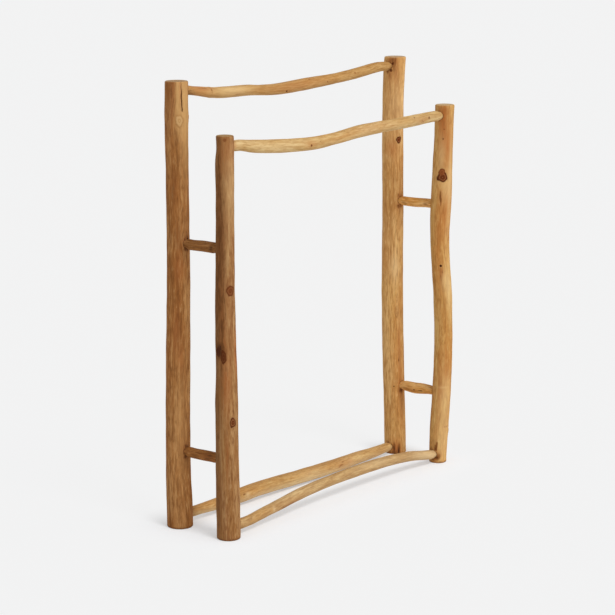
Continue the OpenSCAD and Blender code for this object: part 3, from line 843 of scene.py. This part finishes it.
# The branches. A tint multiplies the palette's red, green and blue, and the marks have places in
# mm along the branch in the frame, sizes in mm and directions in degrees round it:
# knots: (place, direction, half width, half length, darkness, swelling, redness, rings)
# cracks: (start, end, direction there and here, half width, depth, how fast it opens at the
#     start and at the end)
# patches: (place, direction, half width, half length, darkness or minus paleness, redness)
# steps: (place, height, half length)
rearLeftPost = {
    "node": "rear_left_post", "finish": "peeledTeakRearLeft", "seed": 11, "lumps": 0.5,
    "tint": (1.01, 1.03, 1.35),
    "look": {**brownTeak, "knotPale": "#DDB680", "knotRim": "#94602C"},
    "knots": [(825, 236, 8, 12, 0.42, 1.4, -0.8, 0.85),
              (830, 309, 4, 5, 0.3, 3.0, 0.5, 0.5), (655, 70, 7, 9, 0.9, 0.9, 0.7, 0.6),
              (262, 118, 4.5, 6, 0.9, 0.7, 0.5, 0.5)],
    "cracks": [(918, 839, 244, 251, 0.9, 2.2, 1.5, 12), (470, 395, 88, 92, 0.4, 0.6, 3, 3)],
    "patches": [(885, 264, 12, 70, -0.6, 0.0), (875, 229, 4, 50, -0.55, 0.0),
                (800, 275, 14, 90, -0.5, 0.0), (826, 238, 10, 22, -0.5, 0.0),
                (690, 205, 7, 50, 0.25, 0.1), (600, 222, 6, 40, 0.25, 0.1),
                (405, 212, 8, 50, 0.2, 0.3), (200, 235, 14, 150, -0.25, 0.1),
                (530, 225, 9, 30, 0.1, 0.3), (350, 236, 5, 22, 0.1, 0.3),
                (171, 261, 5, 6, 0.75, 0.3), (149, 259, 5, 5, 0.75, 0.3),
                (571, 262, 5, 4, 0.55, 0.2),
                (880, 205, 5, 60, 0.25, 0.3), (860, 180, 9, 90, 0.25, 0.1),
                (890, 240, 2.5, 30, 0.1, 0.5)],
    "runOut": 0.9,
}
makeBranch(rearLeftPost)

frontLeftPost = {
    "node": "front_left_post", "finish": "peeledTeakFrontLeft", "seed": 23, "lumps": 0.5,
    "tint": (0.95, 0.955, 1.085),
    "look": {**brownTeak, "main": "#9A6B39", "second": "#A37543", "warm": "#98633A",
             "pale": "#BE9660", "streak": "#7B4E28", "stain": "#683F1D", "bleached": "#D2AA70"},
    "knots": [(796, 220, 3, 3.5, 0.6, 1.0, 0.9, 0.0), (503.5, 252, 8, 10, 0.9, 0.8, 0.9, 0.35),
              (242.5, 252, 6.5, 9, 0.95, 0.9, 0.85, 0.7), (383, 172, 6, 9, 0.8, 0.6, 0.2, 0.0),
              (374, 207, 5.5, 13, 0.95, 0.6, 0.4, 0.2), (590, 62, 6, 8, 0.9, 0.9, 0.8, 0.6),
              (118, 96, 4, 5.5, 0.9, 0.7, 0.6, 0.4)],
    "cracks": [(287, 252, 259, 256, 0.35, 0.8, 3, 3), (405, 352, 290, 286, 0.4, 0.6, 3, 3),
               (440, 412, 288, 290, 0.3, 0.5, 3, 3)],
    # the first two patches are painted shade: the side at about 160 degrees darker nearly all the
    # way up
    "patches": [(530, 165, 17, 240, 0.5, 0.0), (150, 162, 13, 260, 0.4, 0.0),
                (770, 178, 6, 120, 0.35, 0.1), (600, 198, 8, 110, 0.35, 0.0),
                (440, 203, 8, 90, 0.35, 0.3), (380, 287, 5, 40, 0.0, 0.7),
                (325, 223, 8, 60, 0.12, 0.45), (700, 262, 14, 70, -0.4, 0.0),
                (770, 235, 20, 40, 0.1, 0.25), (180, 222, 3, 60, 0.3, 0.3),
                (386, 182, 11, 14, 0.97, 0.4)],
    "runOut": 0.6,
}
makeBranch(frontLeftPost)

rearRightPost = {
    "node": "rear_right_post", "finish": "peeledTeakRearRight", "seed": 37, "lumps": 0.45,
    "tint": (1.115, 1.21, 1.525),
    "look": {**honeyTeak, "sawn": "#B29063"},
    "knots": [(718, 251, 6, 7, 1.0, 1.0, 0.75, 0.8), (571, 247, 1.6, 1.6, 0.9, 0.5, 0.5, 0.0),
              (158.5, 217, 1.6, 1.6, 0.8, 0.5, 0.0, 0.0), (331, 241, 4, 13, 0.15, 0.6, 0.5, 0.5),
              (886, 206, 2.4, 3.6, 0.95, 0.3, 0.2, 0.0), (871, 199, 3.0, 3.0, 0.9, 0.3, 0.3, 0.0),
              (455, 78, 6, 7.5, 0.95, 0.9, 0.7, 0.7), (742, 112, 4, 5, 0.9, 0.7, 0.8, 0.4)],
    "cracks": [(915, 872, 222, 222, 0.25, 0.4, 3, 3), (318, 262, 96, 93, 0.4, 0.6, 3, 3),
               (250, 205, 250, 247, 0.3, 0.4, 3, 3)],
    "patches": [(14, 211, 3, 13, 0.95, 0.5), (12, 238, 2.8, 14, 0.9, 0.5),
                (12, 225, 9, 14, 0.45, 0.8), (3, 205, 16, 5, 0.7, 0.3),
                (893, 196, 8, 8, 0.55, 0.5), (880, 214, 3, 18, 0.5, 0.4),
                (893, 218, 3, 9, 0.55, 0.5), (868, 228, 3, 24, 0.35, 0.5),
                (594, 256, 6, 6, 0.45, 0.4), (570, 254, 8, 7, 0.5, 0.5),
                (148, 259, 7, 5, 0.8, 0.4),
                (860, 196, 5, 12, 0.4, 0.4), (700, 214, 13, 20, 0.1, 0.4),
                (250, 252, 5, 90, 0.2, 0.35), (120, 262, 8, 60, 0.3, 0.2),
                (800, 240, 30, 60, -0.2, 0.0), (430, 232, 12, 30, -0.35, 0.0)],
    "runOut": 0.9,
}
makeBranch(rearRightPost)

frontRightPost = {
    "node": "front_right_post", "finish": "peeledTeakFrontRight", "seed": 41, "lumps": 0.5,
    "tint": (1.013, 1.043, 1.137),
    "look": {**honeyTeak, "main": "#BC8545", "second": "#C6904C", "warm": "#BE7A3A",
             "pale": "#DAB26C", "blotches": 0.65},
    "knots": [(646, 218, 11, 10, 1.0, 0.9, 0.6, 0.6), (655, 213, 6.5, 11, 0.95, 0.3, 0.9, 0.3),
              (751, 217, 1.5, 1.5, 0.6, 0.5, 0.4, 0.0), (730, 213, 1.8, 1.9, 0.9, 0.5, 0.2, 0.0),
              (449.5, 216, 3.0, 3.0, 1.0, 0.4, 0.0, 0.0), (72, 309, 5, 6, 0.2, 3.2, 0.5, 0.5),
              (352, 84, 7, 8, 0.95, 0.9, 0.7, 0.6), (610, 40, 4, 5, 0.9, 0.7, 0.6, 0.4)],
    "cracks": [(622, 584, 209, 211, 0.8, 0.8, 3, 2), (606, 580, 217, 213, 0.4, 0.5, 3, 3),
               (444, 430, 218, 226, 0.35, 0.5, 3, 3), (56, 26, 206, 204, 1.2, 0.3, 3, 6),
               (48, 28, 196, 195, 1.0, 0.3, 3, 6)],
    "patches": [(705, 246, 10, 50, 0.05, 0.5), (772, 204, 12, 30, 0.2, 0.75),
                (728, 222, 16, 44, 0.1, 0.65), (792, 212, 12, 12, 0.12, 0.5),
                (690, 206, 9, 36, -0.4, 0.0), (640, 268, 6, 110, -0.5, 0.0),
                (647, 220, 24, 20, -0.22, 0.0), (560, 250, 25, 70, 0.0, 0.45),
                (604, 211, 5, 22, 0.12, 0.4), (400, 262, 9, 55, -0.5, 0.0),
                (620, 240, 12, 30, -0.38, 0.0), (436, 220, 5, 10, 0.2, 0.5),
                (415, 235, 9, 22, -0.4, 0.0), (425, 212, 2, 22, 0.4, 0.3),
                (200, 235, 20, 60, 0.0, 0.4), (176, 226, 11, 2.2, -0.4, 0.0),
                (166, 214, 7, 10, 0.15, 0.3), (150, 240, 18, 50, -0.35, 0.0),
                (84.5, 268, 12, 2.5, 0.25, 0.5), (60, 255, 22, 60, -0.4, 0.0),
                (20, 222, 7, 7, 0.5, 0.4), (13, 209, 5, 5, 0.9, 0.3),
                (12, 182, 10, 10, 0.5, 0.3)],
    "runOut": 0.8,
}
makeBranch(frontRightPost)

rearTopRail = {
    "node": "rear_top_rail", "finish": "rubbedTeakRearTop", "seed": 53, "lumps": 0.4,
    "tint": (1.02, 1.065, 1.335),
    "look": {**paleTeak, "main": "#B08144", "second": "#BA8E4E", "warm": "#B27A34",
             "pale": "#D2AA66", "streak": "#95632B", "bleached": "#DAB676",
             "bands": 0.35, "strokes": 0.35},
    "knots": [(-37, 207, 1.9, 2.6, 1.0, 0.6, 0.4, 0.0), (98, 186, 1.8, 2.0, 0.7, 0.4, 0.8, 0.0),
              (197, 160, 2.2, 2.6, 0.6, 0.4, 0.9, 0.0), (84, 12, 2.6, 3.6, 0.9, 0.5, 0.6, 0.4),
              (40, 128, 1.6, 2.0, 0.6, 0.4, 0.9, 0.0)],
    "patches": [(-200, 165, 14, 50, -0.5, 0.0), (-290, 132, 6, 24, 0.3, 0.7),
                (-300, 175, 30, 34, 0.0, 0.3), (-330, 215, 8, 25, 0.45, 0.1),
                (-264, 142, 8, 1.8, 0.45, 0.5), (-186, 205, 3, 12, 0.35, 0.2),
                (10, 170, 14, 110, 0.0, 0.3), (330, 215, 8, 12, 0.6, 0.0)],
    "steps": [(-262, 0.5, 5)],
}
makeBranch(rearTopRail)

frontTopRail = {
    "node": "front_top_rail", "finish": "rubbedTeakFrontTop", "seed": 67, "lumps": 0.4,
    "tint": (0.99, 1.02, 1.235),
    "look": paleTeak,
    "knots": [(-109, 189, 2.2, 2.6, 0.9, 0.4, 0.5, 0.0), (236, 138, 2.4, 2.6, 0.7, 0.4, 0.5, 0.0),
              (286, 172, 2.8, 3.0, 0.75, 0.4, 0.4, 0.0), (261, 190, 3.0, 1.2, 0.6, 0.2, 0.3, 0.0),
              (-172, 8, 2.8, 4.0, 0.9, 0.5, 0.6, 0.4), (266, 200, 2.5, 1.0, 0.5, 0.2, 0.3, 0.0),
              (-80, 162, 1.2, 1.6, 0.5, 0.2, 0.5, 0.0)],
    "patches": [(-336, 163, 10, 5, 0.05, 0.4), (-109, 178, 8, 18, 0.05, 0.35),
                (60, 170, 14, 120, 0.0, 0.25), (262, 190, 7, 20, 0.2, 0.3)],
}
makeBranch(frontTopRail)

rearBottomRail = {
    "node": "rear_bottom_rail", "finish": "rubbedTeakRearBottom", "seed": 71, "lumps": 0.45,
    "tint": (1.017, 1.036, 1.26),
    "look": {**paleTeak, "main": "#BB8F51", "second": "#C59D5A", "warm": "#C0843C",
             "pale": "#DAB874", "streak": "#9E6E36"},
    "knots": [(-176, 158, 1.5, 4.0, 0.6, 0.5, 0.3, 0.0), (30, 18, 3.4, 5.0, 0.9, 0.6, 0.6, 0.5),
              (143, 168, 2, 5, 0.4, 0.5, 0.6, 0.0), (150, 148, 1.6, 5, 0.4, 0.5, 0.6, 0.0),
              (136, 180, 1.5, 4, 0.35, 0.5, 0.6, 0.0)],
    "patches": [(178, 168, 8, 9, -0.15, 0.45), (-165, 170, 5, 6, -0.4, 0.0),
                (-325, 160, 30, 12, 0.15, 0.1), (40, 165, 12, 50, -0.2, 0.0),
                # the two patches at 0 that run the whole rail are painted shade along its top and
                # painted light from the floor along its underside
                (150, 160, 12, 22, 0.1, 0.3), (0, 104, 8, 360, 0.3, 0.1),
                (0, 214, 8, 360, -0.5, 0.0)],
}
makeBranch(rearBottomRail)

frontBottomRail = {
    "node": "front_bottom_rail", "finish": "rubbedTeakFrontBottom", "seed": 83, "lumps": 0.4,
    "tint": (1.02, 1.05, 1.3),
    "look": {**paleTeak, "main": "#B28B54", "second": "#BC965A", "warm": "#BC8A44",
             "pale": "#D2B274", "streak": "#987040"},
    "knots": [(-300, 150, 4, 6, 0.12, 0.6, 0.5, 0.3)],
    "patches": [(-172, 204, 6, 36, 0.45, 0.3), (-224, 176, 6, 4, -0.35, 0.0),
                (120, 140, 10, 60, -0.2, 0.0), (300, 180, 14, 50, -0.35, 0.1)],
}
makeBranch(frontBottomRail)

darkRung = {
    **brownTeak, "main": "#824E20", "second": "#8C5626", "warm": "#7C471B", "pale": "#A66E3A",
    "streak": "#5C3414", "stain": "#4A2A12", "bands": 0.5, "strokes": 0.45,
}
goldRung = {
    **honeyTeak, "main": "#D69A4A", "second": "#DEA455", "pale": "#ECC47E",
    "streak": "#A66A2C", "stain": "#85531F", "bands": 0.65, "strokes": 0.55,
}
rungs = [
    {"node": "left_upper_rung", "finish": "peeledTeakLeftUpper", "seed": 97, "lumps": 0.35,
     "tint": (1.11, 1.3, 1.76),
     "look": darkRung, "patches": [(-34, 265, 12, 6, 0.5, 0.0)]},
    {"node": "left_lower_rung", "finish": "peeledTeakLeftLower", "seed": 101, "lumps": 0.35,
     "tint": (1.075, 1.185, 1.63),
     "look": {**darkRung, "main": "#915824", "second": "#9A612B", "pale": "#B87E42"},
     "patches": [(-25, 270, 10, 14, 0.4, 0.3)]},
    {"node": "right_upper_rung", "finish": "peeledTeakRightUpper", "seed": 103, "lumps": 0.35,
     "tint": (1.095, 1.11, 1.29),
     "look": goldRung, "patches": [(30, 255, 6, 10, 0.35, 0.2), (-25, 262, 7, 8, 0.3, 0.3)]},
    {"node": "right_lower_rung", "finish": "peeledTeakRightLower", "seed": 107, "lumps": 0.35,
     "tint": (1.025, 1.0, 1.1),
     "look": goldRung, "knots": [(0, 262, 1.8, 1.8, 0.8, 0.5, 0.2, 0.0)],
     "cracks": [(-6, -26, 262, 255, 0.45, 0.6, 3, 3)],
     "patches": [(20, 255, 5, 14, 0.3, 0.3)]},
]
for rung in rungs:
    makeBranch(rung)

nailFinish = drawnSteel("drawnSteelNail")
for node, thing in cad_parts.items():
    if node.endswith("_nails"):
        thing.data.materials.clear()
        thing.data.materials.append(nailFinish)
print("nails finished")
